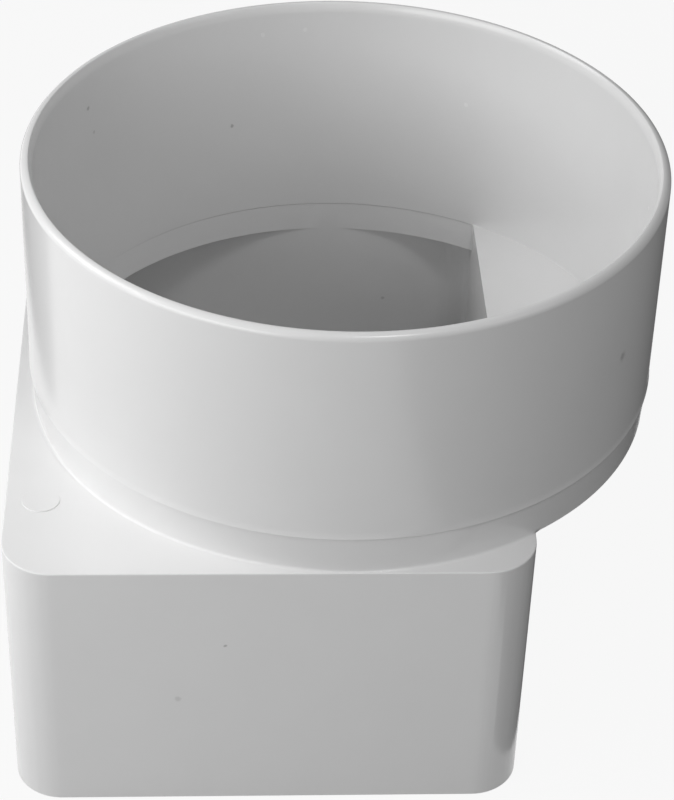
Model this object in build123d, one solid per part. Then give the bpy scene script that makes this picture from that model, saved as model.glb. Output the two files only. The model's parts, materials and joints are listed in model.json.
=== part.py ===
from build123d import *
import math
import os

# Offset downspout adapter: a round pipe hub stands on a rectangular downspout box,
# pushed to one side of it, and the two are one moulded wall.
# Frame: the origin is the centre of the box's open mouth, on the plane of its foot.
# +Z is up along the hub's axis and +X is the way the hub is offset.
# Lengths are millimetres, drafts are degrees.

# Hub and neck
pipe_diameter = 107.06      # outside of the drain pipe that the hub takes
pipe_clearance = 0.74       # across the diameter
hub_wall = 2.1
hub_height = 40.6           # from the step line up to the rim
pipe_stop = 0.75            # width of the ledge that the pipe's end meets
neck_wall = 2.1
neck_height = 7.4           # from the shoulder up to the step line
floor_thickness = 4.0       # closed part of the socket's floor, where the hub overhangs the box
hub_offset = 13.4           # from the box's centre line to the hub's axis

# Box
box_width = 90.2            # along X, at the shoulder
box_height = 52.1
box_corner = 8.9
box_draft = 0.4             # outside, narrowing towards the foot
side_wall = 2.6             # left and right walls at the foot
end_wall = 2.0              # front and back walls at the foot
socket_draft = 0.5          # inside, narrowing away from the foot
shoulder_thickness = 1.8
front_flat = 0.1            # least width of flat shoulder, in front of the neck and behind it

# Edges
lip_outer_round = 0.45 * hub_wall
lead_in = 0.22 * hub_wall   # how far the mouth flares out inside the rim, to guide the pipe
lead_in_height = 1.6
floor_round = 0.2
root_bevel = 0.3            # eases the inner corner between neck and shoulder
shoulder_bevel = 0.25
overhang_bevel = 0.4
foot_bevel = 0.3

# Fine raised line along the hub's lower edge, where the mould halves met
seam_height = 0.9
seam_rise = 0.12

# Round ejector mark on the shoulder
mark_diameter = 6.6
mark_height = 0.25
mark_bevel = 0.12
mark_from_left = 6.05
mark_from_front = 19.8

# Sizes that follow from those above
hub_bore_r = (pipe_diameter + pipe_clearance) / 2
hub_r = hub_bore_r + hub_wall
neck_bore_r = hub_bore_r - pipe_stop
neck_r = neck_bore_r + neck_wall
box_depth = 2 * (neck_r + root_bevel + front_flat + shoulder_bevel)

shoulder_z = box_height
step_z = shoulder_z + neck_height
rim_z = step_z + hub_height
floor_z = shoulder_z + floor_thickness
ceiling_z = shoulder_z - shoulder_thickness

box_taper = box_height * math.tan(math.radians(box_draft))
mouth_width = box_width - 2 * (box_taper + side_wall)
mouth_depth = box_depth - 2 * (box_taper + end_wall)
mouth_corner = box_corner - (box_taper + side_wall)

overlap = 1.0               # how far a cutting tool or a root runs past the face it crosses


def spun(profile):
    """Turn a closed outline of radius and height about the hub's axis."""
    section = Plane.XZ * make_face(profile)
    return Pos(hub_offset, 0, 0) * revolve(section, Axis.Z)


def hub_and_neck():
    """Outside of the hub, its seam line and the narrower neck below it, as one turned solid."""
    seam_middle = (hub_r + seam_rise, step_z + seam_height / 2)
    outline = [
        Line((0, shoulder_z), (neck_r - overhang_bevel, shoulder_z)),
        Line((neck_r - overhang_bevel, shoulder_z), (neck_r, shoulder_z + overhang_bevel)),
        Line((neck_r, shoulder_z + overhang_bevel), (neck_r, step_z)),
        Line((neck_r, step_z), (hub_r, step_z)),
        Line((hub_r, step_z), seam_middle),
        Line(seam_middle, (hub_r, step_z + seam_height)),
        Line((hub_r, step_z + seam_height), (hub_r, rim_z - lip_outer_round)),
        RadiusArc((hub_r, rim_z - lip_outer_round), (hub_r - lip_outer_round, rim_z), -lip_outer_round),
        Line((hub_r - lip_outer_round, rim_z), (0, rim_z)),
        Line((0, rim_z), (0, shoulder_z)),
    ]
    return spun(outline)


def box_outline():
    """Rounded rectangle of the box at the shoulder."""
    return RectangleRounded(box_width, box_depth, box_corner)


def box_block():
    """Outside of the box before it is hollowed, drafted from the shoulder down to the foot."""
    block = extrude(Pos(0, 0, shoulder_z) * box_outline(), -box_height, taper=box_draft)
    block = chamfer(block.edges().group_by(Axis.Z)[-1], shoulder_bevel)
    return chamfer(block.edges().group_by(Axis.Z)[0], foot_bevel)


def neck_root():
    """Foot of the neck with its eased corner, kept to the box's own outline."""
    toe_r = neck_r + root_bevel
    root_top = shoulder_z + max(root_bevel, overhang_bevel)
    outline = [
        Line((0, shoulder_z - overlap), (toe_r, shoulder_z - overlap)),
        Line((toe_r, shoulder_z - overlap), (toe_r, shoulder_z)),
        Line((toe_r, shoulder_z), (neck_r, shoulder_z + root_bevel)),
        Line((neck_r, shoulder_z + root_bevel), (neck_r, root_top)),
        Line((neck_r, root_top), (0, root_top)),
        Line((0, root_top), (0, shoulder_z - overlap)),
    ]
    shoulder = Pos(0, 0, shoulder_z) * box_outline()
    column = extrude(shoulder, overlap) + extrude(shoulder, -overlap, taper=box_draft)
    return spun(outline) & column


def ejector_mark():
    """Low round mark that an ejector pin left on the shoulder's front left corner."""
    x = mark_from_left - box_width / 2
    y = mark_from_front - box_depth / 2
    disc = Cylinder(
        mark_diameter / 2, overlap + mark_height, align=(Align.CENTER, Align.CENTER, Align.MIN)
    )
    disc = chamfer(disc.edges().group_by(Axis.Z)[-1], mark_bevel)
    return Pos(x, y, shoulder_z - overlap) * disc


def pipe_socket():
    """Space for the pipe: a true cylinder from the floor to the rim, with both ends eased."""
    mouth_r = hub_bore_r + lead_in
    flare_z = rim_z - lead_in_height
    above = rim_z + overlap
    outline = [
        Line((0, floor_z), (hub_bore_r - floor_round, floor_z)),
        RadiusArc((hub_bore_r - floor_round, floor_z), (hub_bore_r, floor_z + floor_round), -floor_round),
        Line((hub_bore_r, floor_z + floor_round), (hub_bore_r, flare_z)),
        TangentArc((hub_bore_r, flare_z), (mouth_r, rim_z), tangent=(0, 1)),
        Line((mouth_r, rim_z), (mouth_r, above)),
        Line((mouth_r, above), (0, above)),
        Line((0, above), (0, floor_z)),
    ]
    return spun(outline)


def downspout_space():
    """Drafted space for the downspout, which goes on up through the floor as the neck's round bore."""
    mouth = RectangleRounded(mouth_width, mouth_depth, mouth_corner)
    space = extrude(mouth, floor_z + overlap, taper=socket_draft)
    roof_height = floor_z + 2 * overlap - ceiling_z
    roof = extrude(Rectangle(box_width, box_depth), roof_height)
    bore = Pos(hub_offset, 0, 0) * extrude(Circle(neck_bore_r), roof_height)
    return space - Pos(0, 0, ceiling_z) * (roof - bore)


def adapter_body():
    """The whole moulding: outside forms joined, then the two sockets taken out."""
    outside = box_block() + neck_root() + hub_and_neck() + ejector_mark()
    return outside - pipe_socket() - downspout_space()


os.makedirs("parts", exist_ok=True)
body = adapter_body()
export_step(body, "parts/adapter_body.step")
print("adapter_body", len(body.solids()), "solid,", round(body.volume), "cubic millimetres")
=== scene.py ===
# %% [markdown]
# An offset downspout adapter in white moulded plastic.
# A round pipe hub stands on a rectangular box, pushed to one side of it, and the two are one wall.
# The CAD solid is loaded as a fixed frame. It gives the sizes, but its mesh is made of long triangles
# that would show as teeth in a glossy edge, so Blender makes a clean skin of the same form.

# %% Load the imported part
import json
import math

import bmesh
import bpy
import numpy as np
from mathutils import Matrix, Vector


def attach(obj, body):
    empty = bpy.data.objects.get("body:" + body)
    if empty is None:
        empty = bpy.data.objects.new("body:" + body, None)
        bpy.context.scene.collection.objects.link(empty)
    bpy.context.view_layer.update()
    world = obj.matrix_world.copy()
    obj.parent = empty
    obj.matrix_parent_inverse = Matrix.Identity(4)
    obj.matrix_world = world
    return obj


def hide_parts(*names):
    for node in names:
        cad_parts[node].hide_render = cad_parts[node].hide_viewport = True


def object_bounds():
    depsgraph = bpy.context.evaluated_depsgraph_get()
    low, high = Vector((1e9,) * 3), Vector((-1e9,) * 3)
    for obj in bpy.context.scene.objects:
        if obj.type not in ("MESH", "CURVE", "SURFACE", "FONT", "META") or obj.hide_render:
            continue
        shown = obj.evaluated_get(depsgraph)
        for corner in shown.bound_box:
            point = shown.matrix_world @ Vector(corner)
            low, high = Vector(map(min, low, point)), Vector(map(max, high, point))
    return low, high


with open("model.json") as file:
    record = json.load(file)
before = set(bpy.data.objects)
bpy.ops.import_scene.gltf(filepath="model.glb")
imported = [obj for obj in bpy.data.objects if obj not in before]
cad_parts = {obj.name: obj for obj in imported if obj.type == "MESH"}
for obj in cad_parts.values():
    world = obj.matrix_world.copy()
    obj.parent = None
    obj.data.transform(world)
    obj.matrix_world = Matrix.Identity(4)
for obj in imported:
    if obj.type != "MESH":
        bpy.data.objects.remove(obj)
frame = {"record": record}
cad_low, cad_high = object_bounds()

MM = 0.001
print("CAD box in mm", [round(side / MM, 2) for side in (*cad_low, *cad_high)])

# %% [markdown]
# The hub's own place and size are read from the frame, where the pipe socket is a named mount.
# The walls, drafts and edges are the moulder's sizes, in millimetres. They are those of the solid,
# but the neck, the lip and the end of the socket differ by a few tenths, for the look.

# %% Sizes of the moulding
socket = next(mount for mount in frame["record"]["mounts"] if mount["name"] == "hub_socket")
hub_x = socket["pos_m"][0] / MM
bore_r = socket["dims"]["r_mm"]
rim_z = cad_high.z / MM

hub_wall = 2.1
pipe_stop = 0.75
neck_inset = 0.55
shoulder_z = 52.1
step_z = shoulder_z + 7.4
floor_z = shoulder_z + 4.0
ceiling_z = shoulder_z - 1.8
box_size = np.array((90.2, 111.8))
box_corner = 8.9
box_slope = math.tan(math.radians(0.4))
mouth_wall = np.array((2.6, 2.0))
mouth_slope = math.tan(math.radians(0.5))

hub_r = bore_r + hub_wall
throat_r = bore_r - pipe_stop
neck_r = hub_r - neck_inset
mouth_corner = box_corner - shoulder_z * box_slope - mouth_wall[0]
print("hub", hub_r, "neck", neck_r, "throat", throat_r, "rim at", round(rim_z, 2))

# %% [markdown]
# A pipe fitting is a tube, so its whole skin is one closed band of rings:
# up the outside of the box, over the shoulder, up the hub, over the lip, down the socket,
# through the throat and down the inside of the box, back to where it began.
# Every ring is a distance from the hub's axis at the same list of angles, so the band is all quads.
# The box's corners are small and far from the axis, so extra angles are put in there.

# %% Angles that the rings share
EVEN_STEPS = 240
CORNER_STEPS = 12
CLOSEST = math.radians(0.06)


def box_half(z):
    """Half sizes and corner of the box's outside at a height."""
    inset = (shoulder_z - z) * box_slope
    return box_size / 2 - inset, box_corner - inset


def mouth_half(z):
    """Half sizes and corner of the downspout's space at a height."""
    half, _ = box_half(0)
    return half - mouth_wall - z * mouth_slope, mouth_corner - z * mouth_slope


def corner_angles(half, corner):
    """Angles, seen from the hub's axis, of points around the four corners of a rounded rectangle."""
    turn = np.linspace(0, math.pi / 2, CORNER_STEPS + 1)
    for side_x in (1, -1):
        for side_y in (1, -1):
            x = side_x * (half[0] - corner + corner * np.cos(turn))
            y = side_y * (half[1] - corner + corner * np.sin(turn))
            yield from np.arctan2(y, x - hub_x)


def meeting_angles(edge_x, radius):
    """Angles where a circle about the hub's axis crosses the line x = edge_x."""
    angle = math.acos((edge_x - hub_x) / radius)
    return [angle, -angle]


needed = [
    *meeting_angles(box_half(shoulder_z)[0][0], neck_r),
    *meeting_angles(mouth_half(ceiling_z)[0][0], throat_r),
    *corner_angles(*box_half(shoulder_z)),
    *corner_angles(*mouth_half(0)),
    *np.linspace(-math.pi, math.pi, EVEN_STEPS, endpoint=False),
]
angles = []
for angle in needed:
    if all(abs(angle - other) > CLOSEST for other in angles):
        angles.append(angle)
angles = np.array(sorted(angles))
print("angles round the tube", len(angles))

# %% [markdown]
# A circle about the axis is a ring of one distance. A rounded rectangle isn't centred on the axis,
# so its ring is found by walking out along each angle until the rectangle's edge is met.
# Halving the step each time is slow for a person and instant for an array.

# %% Distance from the axis to a rounded rectangle
WALK = 200.0
HALVINGS = 60


def reach(half, corner):
    """Distance from the hub's axis to the edge of a rounded rectangle, at every angle."""
    near = np.zeros(len(angles))
    far = np.full(len(angles), WALK)
    for _ in range(HALVINGS):
        middle = (near + far) / 2
        spot = np.stack((hub_x + middle * np.cos(angles), middle * np.sin(angles)))
        over = np.abs(spot) - (half - corner)[:, None]
        outside = np.hypot(*np.maximum(over, 0)) + np.minimum(over.max(0), 0) - corner > 0
        far = np.where(outside, middle, far)
        near = np.where(outside, near, middle)
    return near


rings = []


def ring(distance, z):
    """Add one ring to the band. Both values may be one number or one for each angle."""
    distance = np.broadcast_to(distance, angles.shape)
    z = np.broadcast_to(z, angles.shape)
    spot = (hub_x + distance * np.cos(angles), distance * np.sin(angles), z)
    rings.append(np.stack(spot, axis=1))


# %% [markdown]
# On the left the neck stands on the shoulder, with a small hollow corner between them.
# On the right it hangs out over the box, and the same edge is rounded the other way.
# One signed size does both: it follows the gap between the box's edge and the neck,
# so the hollow fades to nothing where the two cross and comes back as a round.
# A guard ring runs close above the edge and close below it, so that the light on the tall walls
# isn't bent by the small faces at that crossing.

# %% Outside of the box, and its shoulder
QUARTER_STEPS = 8
EDGE_SHARE = 0.4
ROOT_SHARE = 0.5
foot_bevel = 0.3
shoulder_round = 0.25
root_round = 0.5
overhang_round = 0.4

quarter = np.linspace(0, math.pi / 2, QUARTER_STEPS + 1)[1:]
edge = reach(*box_half(shoulder_z))
gap = edge - neck_r
edge_round = np.minimum(shoulder_round, EDGE_SHARE * np.maximum(gap, 0))
root = np.clip(ROOT_SHARE * gap, -overhang_round, root_round)
guard = 2 * overhang_round

half, corner = box_half(0)
ring(reach(half - foot_bevel, corner - foot_bevel), 0)
ring(reach(*box_half(foot_bevel)), foot_bevel)
ring(reach(*box_half(shoulder_z - guard)), shoulder_z - guard)
ring(edge - edge_round * box_slope, shoulder_z - edge_round)
for turn in quarter:
    ring(edge - edge_round * (1 - math.cos(turn)), shoulder_z - edge_round * (1 - math.sin(turn)))
ring(neck_r + root, shoulder_z)
for turn in quarter:
    ring(neck_r + root * (1 - math.sin(turn)), shoulder_z + np.abs(root) * (1 - math.cos(turn)))
ring(neck_r, shoulder_z + guard)
print("rings up to the neck", len(rings))

# %% [markdown]
# The hub is plain turned work. At its foot, where the mould's halves met, it swells out a hair
# and ends in a sharp little step above the neck. The swell catches the light and the step is its shadow.
# Inside, the mouth flares out in one easy curve that guides the pipe in, up to a narrow crest.
# From there the lip falls away outwards in a quarter of an ellipse, wider than it is tall.
# The socket narrows a little towards its floor, so that a pipe is held before it stops.
# At the back it runs on into the throat, so the floor's corner is only rounded where there is a floor.

# %% Hub, lip and pipe socket
SEAM_STEPS = 6
LIP_STEPS = 16
CREST_STEPS = 5
FLARE_STEPS = 7
RIGHT_SIDE = math.radians(70)
step_width = 0.12
seam_height = 1.5
seam_rise = 0.12
lead_in = 0.3 * hub_wall
lead_in_height = 2.0
crest_round = 0.2
lip_drop = 1.2
narrowing = 0.6
narrowing_height = 18.0
floor_round = 0.2

flare = (lead_in ** 2 + lead_in_height ** 2) / (2 * lead_in)
flare_turn = math.asin(lead_in_height / flare)
crest_cut = crest_round * math.tan((math.pi / 2 - flare_turn) / 2)
crest_r = bore_r + lead_in + crest_cut
lip_wide = hub_r - crest_r

ring(hub_r - step_width, step_z)
for share in np.linspace(0, 1, SEAM_STEPS + 1):
    ring(hub_r + seam_rise * (1 - share) ** 2, step_z + seam_height * share)
for turn in np.linspace(0, math.pi / 2, LIP_STEPS + 1):
    ring(hub_r - lip_wide * (1 - math.cos(turn)), rim_z - lip_drop * (1 - math.sin(turn)))
for turn in np.linspace(math.pi / 2, flare_turn, CREST_STEPS + 1)[1:]:
    ring(crest_r - crest_round * math.cos(turn), rim_z - crest_round * (1 - math.sin(turn)))
for turn in np.linspace(flare_turn - crest_cut / flare, 0, FLARE_STEPS + 1)[1:]:
    ring(bore_r + flare * (1 - math.cos(turn)), rim_z - lead_in_height + flare * math.sin(turn))

socket_end = bore_r - narrowing
right_side = np.abs(angles) < RIGHT_SIDE
floor_corner = np.clip(socket_end - reach(*mouth_half(floor_z)), 0, floor_round) * right_side
ring(bore_r, floor_z + narrowing_height)
ring(socket_end, floor_z + floor_corner)
for turn in quarter:
    ring(socket_end - floor_corner * (1 - math.cos(turn)), floor_z + floor_corner * (1 - math.sin(turn)))
print("flare radius", round(flare, 2), "mm, rings down to the floor", len(rings))

# %% [markdown]
# Under the hub the passage narrows to a D: the round throat on the left,
# and on the right the straight inner wall of the box, which comes up flush with the socket's floor.
# The core that made the socket and the core that made the box met at the floor's height,
# and the small step between them shows as a thin dark fold round the throat.

# %% Throat and inside of the box
fold = 0.2
fold_height = 0.2


def throat(radius, z):
    """Ring of the D at a height: round, but straight on the right."""
    return np.where(right_side, np.minimum(radius, reach(*mouth_half(z))), radius)


ring(throat(socket_end, floor_z), floor_z)
ring(throat(socket_end + fold, floor_z - fold_height), floor_z - fold_height)
ring(np.minimum(throat_r, reach(*mouth_half(ceiling_z))), ceiling_z)
ring(reach(*mouth_half(ceiling_z)), ceiling_z)
ring(reach(*mouth_half(0)), 0)
print("rings in all", len(rings))

# %% [markdown]
# The rings are joined into one mesh, and the last is joined to the first.
# Where two rings touch, their points are welded.
# The skin's volume is printed, and it should be close to the CAD solid's own.

# %% Join the rings into one skin
WELD = 0.0005

count, around = len(rings), len(angles)
points = np.concatenate(rings) * MM
faces = []
for row in range(count):
    above = (row + 1) % count
    for step in range(around):
        beside = (step + 1) % around
        faces.append((
            row * around + step, row * around + beside, above * around + beside, above * around + step
        ))
skin = bpy.data.meshes.new("adapter_shell")
skin.from_pydata(points.tolist(), [], faces)
work = bmesh.new()
work.from_mesh(skin)
bmesh.ops.remove_doubles(work, verts=work.verts, dist=WELD * MM)
bmesh.ops.recalc_face_normals(work, faces=work.faces)
work.to_mesh(skin)
volume = work.calc_volume()
open_edges = sum(not each.is_manifold for each in work.edges)
work.free()
shell = bpy.data.objects.new("adapter_shell", skin)
bpy.context.scene.collection.objects.link(shell)
print("skin", len(skin.polygons), "faces, open edges", open_edges)
print("volume", round(volume / MM ** 3), "cubic mm")

# %% [markdown]
# An ejector pin of the mould left a low round mark on the shoulder's front left corner.
# It could be painted as bump, but it catches the light on its own edge, so it is real:
# a little turned button, set into the skin by a Boolean union.
# The pin stood a little askew, so the mark's front edge stands up and its back edge fades out.

# %% Ejector mark
MARK_STEPS = 64
MARK_ROUND_STEPS = 4
mark_r = 3.3
mark_height = 0.08
mark_lean = math.tan(math.radians(2.5))
mark_round = 0.12
mark_sunk = 0.6
mark_from_left = 6.05
mark_from_front = 19.8

mark_x = mark_from_left - box_size[0] / 2
mark_y = mark_from_front - box_size[1] / 2
turns = np.linspace(0, 2 * math.pi, MARK_STEPS, endpoint=False)
outline = [(mark_r, -mark_sunk), (mark_r, mark_height - mark_round)]
for turn in np.linspace(0, math.pi / 2, MARK_ROUND_STEPS + 1)[1:]:
    outline.append((
        mark_r - mark_round * (1 - math.cos(turn)), mark_height - mark_round * (1 - math.sin(turn))
    ))
spots = []
for radius, height in outline:
    for turn in turns:
        x, y = radius * math.cos(turn), radius * math.sin(turn)
        spots.append(Vector((mark_x + x, mark_y + y, shoulder_z + height - mark_lean * y)) * MM)
sides = []
for row in range(len(outline) - 1):
    for step in range(MARK_STEPS):
        beside = (step + 1) % MARK_STEPS
        low, high = row * MARK_STEPS, (row + 1) * MARK_STEPS
        sides.append((low + step, low + beside, high + beside, high + step))
sides.append(tuple(range(len(spots) - MARK_STEPS, len(spots))))
sides.append(tuple(reversed(range(MARK_STEPS))))
button_mesh = bpy.data.meshes.new("button")
button_mesh.from_pydata(spots, [], sides)
button = bpy.data.objects.new("button", button_mesh)
bpy.context.scene.collection.objects.link(button)

union = shell.modifiers.new("mark", "BOOLEAN")
union.operation = "UNION"
union.solver = "EXACT"
union.object = button
bpy.context.view_layer.update()
marked = bpy.data.meshes.new_from_object(shell.evaluated_get(bpy.context.evaluated_depsgraph_get()))
shell.modifiers.clear()
shell.data = marked
bpy.data.objects.remove(button)
print("skin with its mark", len(marked.polygons), "faces")

# %% [markdown]
# Light runs smoothly over an edge that turns a little and breaks at one that turns a lot.
# Weighted normals keep the broad faces flat and give the turn of the light to the narrow roundings.
# The finished skin then stands for the CAD node and moves with the part's one body.

# %% Smooth the light and hand the skin over
SHARP = math.radians(35)

marked.name = "adapter_shell"
marked.shade_smooth()
marked.set_sharp_from_angle(angle=SHARP)
even = shell.modifiers.new("even light", "WEIGHTED_NORMAL")
even.keep_sharp = True
even.weight = 100

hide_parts("adapter_body")
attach(shell, "root")
print("sharp edges", sum(each.use_edge_sharp for each in marked.edges))

# %% [markdown]
# The camera stands in front of the box and a little to the left, and looks down into the hub.
# A camera can be turned by Euler angles, but it is easier to read as three directions:
# the one it looks along, the one to its right and the one up. They are the columns of its matrix.

# %% Place the camera
FRAME_TALL = 800
FOCAL_PIXELS = 2578.0
SENSOR = 36.0
camera_place = Vector((-9.32, -382.63, 328.80)) * MM
turn_right = math.radians(3.376)
look_down = math.radians(36.355)
lean = math.radians(-1.910)

level_right = Vector((math.cos(turn_right), -math.sin(turn_right), 0))
ahead = Vector((
    math.sin(turn_right) * math.cos(look_down),
    math.cos(turn_right) * math.cos(look_down),
    -math.sin(look_down),
))
level_up = level_right.cross(ahead)
right = math.cos(lean) * level_right - math.sin(lean) * level_up
up = math.sin(lean) * level_right + math.cos(lean) * level_up

camera = bpy.data.objects.new("camera", bpy.data.cameras.new("camera"))
camera.data.lens = FOCAL_PIXELS * SENSOR / FRAME_TALL
camera.data.sensor_width = SENSOR
camera.matrix_world = Matrix.Translation(camera_place) @ Matrix((right, up, -ahead)).transposed().to_4x4()
bpy.context.scene.collection.objects.link(camera)
bpy.context.scene.camera = camera
print("camera lens", round(camera.data.lens, 1), "mm")

# %% [markdown]
# A finish is a web of nodes, and its sums are easier to read as Python.
# Wire holds one output of a node. A plus or a times sign on it adds the Math node for that sign.
# Finish holds the nodes of a material or of the world, and has one method that adds any other node:
# its type first, then its settings, then the values or wires of its sockets.

# %% Write shader sums as Python
class Wire:
    """One output of a node in a finish."""

    def __init__(self, finish, socket):
        self.finish = finish
        self.socket = socket

    def sum(self, operation, first, second):
        return self.finish.node("ShaderNodeMath", {"operation": operation}, {0: first, 1: second})

    def __add__(self, other):
        return self.sum("ADD", self, other)

    def __radd__(self, other):
        return self.sum("ADD", other, self)

    def __sub__(self, other):
        return self.sum("SUBTRACT", self, other)

    def __rsub__(self, other):
        return self.sum("SUBTRACT", other, self)

    def __mul__(self, other):
        return self.sum("MULTIPLY", self, other)

    def __rmul__(self, other):
        return self.sum("MULTIPLY", other, self)


class Finish:
    """The nodes of a material or of the world."""

    def __init__(self, owner):
        owner.use_nodes = True
        self.tree = owner.node_tree
        self.tree.nodes.clear()

    def node(self, kind, settings=None, sockets=None, output=0):
        made = self.tree.nodes.new(kind)
        for name, value in (settings or {}).items():
            setattr(made, name, value)
        for name, value in (sockets or {}).items():
            if isinstance(value, Wire):
                self.tree.links.new(value.socket, made.inputs[name])
            else:
                made.inputs[name].default_value = value
        return Wire(self, made.outputs[output]) if made.outputs else None


# %% [markdown]
# Rigid PVC comes out of the mould white and semi-gloss. It isn't one flat white:
# the melt leaves faint clouds where it cooled at different rates, and the skin has a very low
# orange peel that only the reflections show. Clouds go into colour and roughness,
# and two sizes of noise go into the bump, because a bump far smaller than the wall needs no geometry.

# %% White plastic
PALE = (0.875, 0.875, 0.875, 1)
CLOUDED = (0.845, 0.845, 0.845, 1)
CLOUD_SIZE = 14
PEEL_SIZE = 1.6
WAVE_SIZE = 9
SMOOTHEST = 0.17
CLOUD_ROUGHNESS = 0.08
PEEL_SHARE = 0.35


def noise(finish, place, size, detail, output="Fac"):
    """Soft noise whose blobs are about as wide as size, in millimetres."""
    sockets = {"Vector": place, "Scale": 1 / (size * MM), "Detail": detail}
    return finish.node("ShaderNodeTexNoise", None, sockets, output)


def blend(finish, share, first, second):
    """Mix two colours."""
    return finish.node("ShaderNodeMix", {"data_type": "RGBA"}, {0: share, 6: first, 7: second}, 2)


white_pvc = bpy.data.materials.new("white_pvc")
plastic = Finish(white_pvc)
place = plastic.node("ShaderNodeTexCoord", output="Object")
clouds = noise(plastic, place, CLOUD_SIZE, detail=3)
peel = noise(plastic, place, PEEL_SIZE, detail=1)
waves = noise(plastic, place, WAVE_SIZE, detail=0)
colour = blend(plastic, clouds, PALE, CLOUDED)
roughness = SMOOTHEST + CLOUD_ROUGHNESS * clouds
height = PEEL_SHARE * peel + waves
print("plastic nodes so far", len(plastic.tree.nodes))

# %% [markdown]
# The piece has lain about: a few specks of dirt sit on the hub and the box, and the pipe socket has
# marks and pale scuffs where something rubbed. Each is a small ball in space, and the skin is stained
# where it passes through the ball. A little noise in the place makes their edges ragged.
# Each row gives the ball's middle and radius, and how strong its stain is.

# %% Specks and scuffs
SPECKS = [
    ((-7.53, -55.79, 36.11), 0.4, 0.45),
    ((-15.69, -55.70, 23.93), 0.7, 0.22),
    ((59.05, -32.43, 79.56), 1.2, 0.3),
    ((-32.29, 28.59, 91.72), 0.55, 0.45),
    ((-31.42, 29.95, 85.98), 0.45, 0.35),
    ((-5.87, 50.34, 75.42), 0.5, 0.45),
    ((4.50, 53.16, 57.92), 0.5, 0.2),
    ((67.29, 1.20, 87.71), 0.45, 0.4),
    ((25.03, 53.25, 33.31), 0.45, 0.3),
]
SCUFFS = [
    ((7.97, 53.63, 94.63), 0.6, 0.3),
    ((-0.04, 52.20, 94.25), 0.6, 0.3),
    ((38.93, 47.47, 81.92), 0.6, 0.3),
]
DIRT = (0.12, 0.115, 0.11, 1)
RUBBED = (0.93, 0.93, 0.93, 1)
RAGGED = 0.5
RAGGED_SIZE = 0.7
FULL_SHARE = 0.4
DIRT_ROUGHNESS = 0.4
SCUFF_ROUGHNESS = 0.5
BUMP_STRENGTH = 0.06
BUMP_HEIGHT = 0.1

raggedness = noise(plastic, place, RAGGED_SIZE, detail=2, output="Color")
swing = Vector((RAGGED, RAGGED, RAGGED)) * MM
pushed = plastic.node(
    "ShaderNodeVectorMath", {"operation": "MULTIPLY_ADD"}, {0: raggedness, 1: swing, 2: place}
)
ragged_place = plastic.node("ShaderNodeVectorMath", {"operation": "SUBTRACT"}, {0: pushed, 1: swing / 2})


def stains(finish, spots):
    """One mask that is as strong as each stain says at its middle, and fades to nothing at its edge."""
    mask = 0
    for middle, radius, strength in spots:
        away = finish.node(
            "ShaderNodeVectorMath", {"operation": "DISTANCE"},
            {0: ragged_place, 1: Vector(middle) * MM}, "Value",
        )
        stain = finish.node("ShaderNodeMapRange", {"interpolation_type": "SMOOTHSTEP"}, {
            "Value": away, "From Min": FULL_SHARE * radius * MM, "From Max": radius * MM,
            "To Min": strength, "To Max": 0.0,
        })
        mask = stain + mask
    return mask


dirt = stains(plastic, SPECKS)
scuffs = stains(plastic, SCUFFS)
colour = blend(plastic, scuffs, colour, RUBBED)
colour = blend(plastic, dirt, colour, DIRT)
roughness = roughness + DIRT_ROUGHNESS * dirt + SCUFF_ROUGHNESS * scuffs

bump = plastic.node("ShaderNodeBump", None, {
    "Strength": BUMP_STRENGTH,
    "Distance": BUMP_HEIGHT * MM,
    "Height": height,
})
surface = plastic.node("ShaderNodeBsdfPrincipled", None, {
    "Base Color": colour,
    "Roughness": roughness,
    "IOR": 1.5,
    "Normal": bump,
})
plastic.node("ShaderNodeOutputMaterial", None, {"Surface": surface})
shell.data.materials.clear()
shell.data.materials.append(white_pvc)
print("plastic nodes", len(plastic.tree.nodes))

# %% [markdown]
# The floor is a plain sheet that looks white. Under soft light a white sheet renders grey, so its white
# is given only to what the camera, a reflection or a see-through ray meets. No lamp is raised for it.
# A small share of the sheet is a grey that is lit as usual, so it keeps the adapter's shadow.
# To the light itself the sheet is that grey alone, and throws less back up at the walls.
# The room is an even, dim grey that fills the shade a little.

# %% Floor and room
FLOOR_REACH = 40.0
WHITE = (1, 1, 1, 1)
SHEET_GREY = (0.4, 0.4, 0.4, 1)
WHITE_SHARE = 0.92
ROOM_LEVEL = 0.17


def seen(finish, share):
    """Share of plain white for the rays that look, and none for those that light."""
    looks = finish.node("ShaderNodeLightPath", output="Is Camera Ray")
    shines = finish.node("ShaderNodeLightPath", output="Is Glossy Ray")
    passes = finish.node("ShaderNodeLightPath", output="Is Transmission Ray")
    return share * (looks + shines + passes)


white_sheet = bpy.data.materials.new("white_sheet")
sheet = Finish(white_sheet)
lit = sheet.node("ShaderNodeBsdfDiffuse", None, {"Color": SHEET_GREY})
plain = sheet.node("ShaderNodeEmission", None, {"Color": WHITE, "Strength": 1.0})
both = sheet.node("ShaderNodeMixShader", None, {0: seen(sheet, WHITE_SHARE), 1: lit, 2: plain})
sheet.node("ShaderNodeOutputMaterial", None, {"Surface": both})
white_sheet.cycles.emission_sampling = "NONE"

corners = [(-1, -1), (1, -1), (1, 1), (-1, 1)]
floor_mesh = bpy.data.meshes.new("floor")
floor_mesh.from_pydata([(x * FLOOR_REACH, y * FLOOR_REACH, 0) for x, y in corners], [], [(0, 1, 2, 3)])
floor = bpy.data.objects.new("floor", floor_mesh)
floor_mesh.materials.append(white_sheet)
bpy.context.scene.collection.objects.link(floor)

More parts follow.
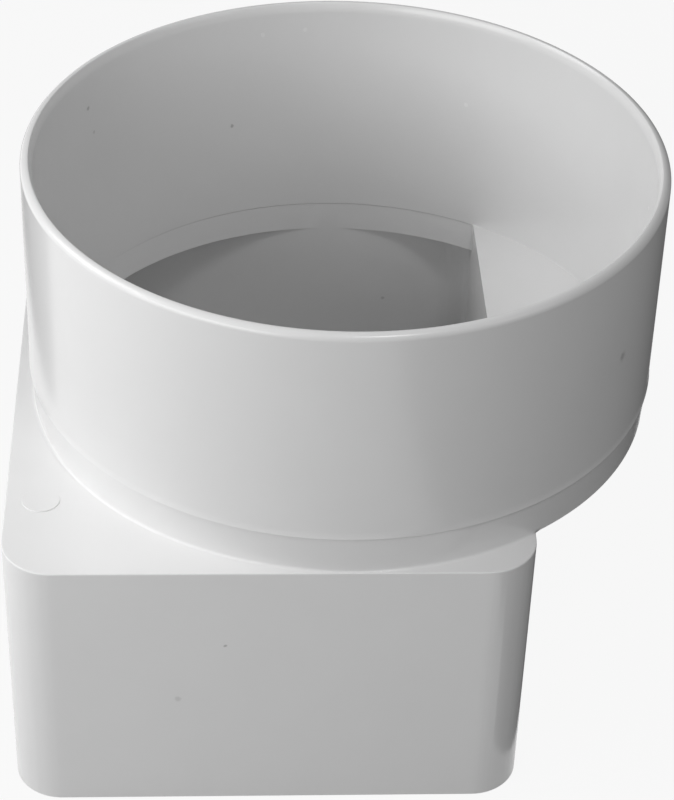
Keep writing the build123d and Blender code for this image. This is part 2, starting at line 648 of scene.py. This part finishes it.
room_world = bpy.data.worlds.new("room")
bpy.context.scene.world = room_world
room = Finish(room_world)
dim = room.node("ShaderNodeBackground", None, {"Color": WHITE, "Strength": ROOM_LEVEL})
room.node("ShaderNodeOutputWorld", None, {"Surface": dim})
print("white share of the floor", WHITE_SHARE)

# %% [markdown]
# Inside the box the sheet lies in the dark, and a share of plain white would glow there.
# So a second, ordinary piece of grey card lies on it, cut along the middle of the box's wall.

# %% Card inside the box
CARD_LIFT = 0.02
INSIDE_GREY = (0.5, 0.5, 0.5, 1)

inside = bpy.data.materials.new("white_card")
card = Finish(inside)
matt = card.node("ShaderNodeBsdfDiffuse", None, {"Color": INSIDE_GREY})
card.node("ShaderNodeOutputMaterial", None, {"Surface": matt})

half, corner = box_half(0)
distance = reach(half - mouth_wall / 2, corner - mouth_wall[0] / 2)
card_points = [
    Vector((hub_x + far * math.cos(turn), far * math.sin(turn), CARD_LIFT)) * MM
    for far, turn in zip(distance, angles)
]
card_mesh = bpy.data.meshes.new("floor_inside")
card_mesh.from_pydata(card_points, [], [tuple(range(len(card_points)))])
card_mesh.materials.append(inside)
floor_inside = bpy.data.objects.new("floor_inside", card_mesh)
bpy.context.scene.collection.objects.link(floor_inside)
print("card corners", len(card_points))

# %% [markdown]
# A white thing on a white floor loses its edges, because a glossy side seen along its face
# mirrors the floor. Photographers stand dark cards beside it, and the edges turn grey again.
# There is a tall one on the right, a low one close to the box's right side, and one that hangs on the left.
# Each row gives a card's near end, its far end, and the heights of its foot and its top.
# Here the cards are there for reflections alone: the camera can look past them from any side,
# and they take no light away.

# %% Dark cards beside the part
CARD_GREY = (0.1, 0.1, 0.1, 1)
CARDS = [
    ((60, -200), (106, 150), (0, 110)),
    ((50, -62), (54, 40), (0, 45)),
    ((-66, 0), (-70, 130), (35, 80)),
]

dark_card = bpy.data.materials.new("dark_card")
dark = Finish(dark_card)
soot = dark.node("ShaderNodeBsdfDiffuse", None, {"Color": CARD_GREY})
dark.node("ShaderNodeOutputMaterial", None, {"Surface": soot})

card_spots = []
for near, far, (low, high) in CARDS:
    for spot in ((*near, low), (*far, low), (*far, high), (*near, high)):
        card_spots.append(Vector(spot) * MM)
card_faces = np.arange(len(card_spots)).reshape(len(CARDS), -1)
cards_mesh = bpy.data.meshes.new("edge_cards")
cards_mesh.from_pydata(card_spots, [], card_faces.tolist())
cards_mesh.materials.append(dark_card)
edge_cards = bpy.data.objects.new("edge_cards", cards_mesh)
edge_cards.visible_camera = False
edge_cards.visible_diffuse = False
edge_cards.visible_transmission = False
edge_cards.visible_shadow = False
bpy.context.scene.collection.objects.link(edge_cards)
print("dark cards", len(CARDS))

# %% [markdown]
# The light is soft and comes from the left, close by, so it falls off across the piece.
# Weaker lamps in front fill the shade. A lamp's power means little by itself,
# so each is given by the level at which it would light a white card that faces it.

# %% Lamps
AIM = Vector((12, 0, 60)) * MM


def lamp(name, azimuth, height, distance, wide, tall, level):
    """An area lamp aimed at the adapter's middle. Angles in degrees, sizes in metres."""
    light = bpy.data.lights.new(name, "AREA")
    light.shape = "RECTANGLE"
    light.size = wide
    light.size_y = tall
    light.energy = level * (math.pi * distance) ** 2
    lamp_object = bpy.data.objects.new(name, light)
    turn, rise = math.radians(azimuth), math.radians(height)
    way = Vector((math.cos(rise) * math.cos(turn), math.cos(rise) * math.sin(turn), math.sin(rise)))
    lamp_object.location = AIM + way * distance
    lamp_object.rotation_euler = way.to_track_quat("Z", "Y").to_euler()
    bpy.context.scene.collection.objects.link(lamp_object)
    return lamp_object


lamps = [
    lamp("window", azimuth=174, height=34, distance=0.44, wide=0.24, tall=0.28, level=0.41),
    lamp("soft_left", azimuth=223, height=24, distance=0.38, wide=0.34, tall=0.17, level=0.40),
    lamp("high_front", azimuth=290, height=63, distance=0.8, wide=0.14, tall=0.14, level=0.125),
    lamp("right_front", azimuth=330, height=35, distance=0.8, wide=0.4, tall=0.4, level=0.08),
]
for each in lamps:
    print(each.name, round(each.data.energy, 3), "W")

bpy.context.scene.view_settings.view_transform = "Standard"
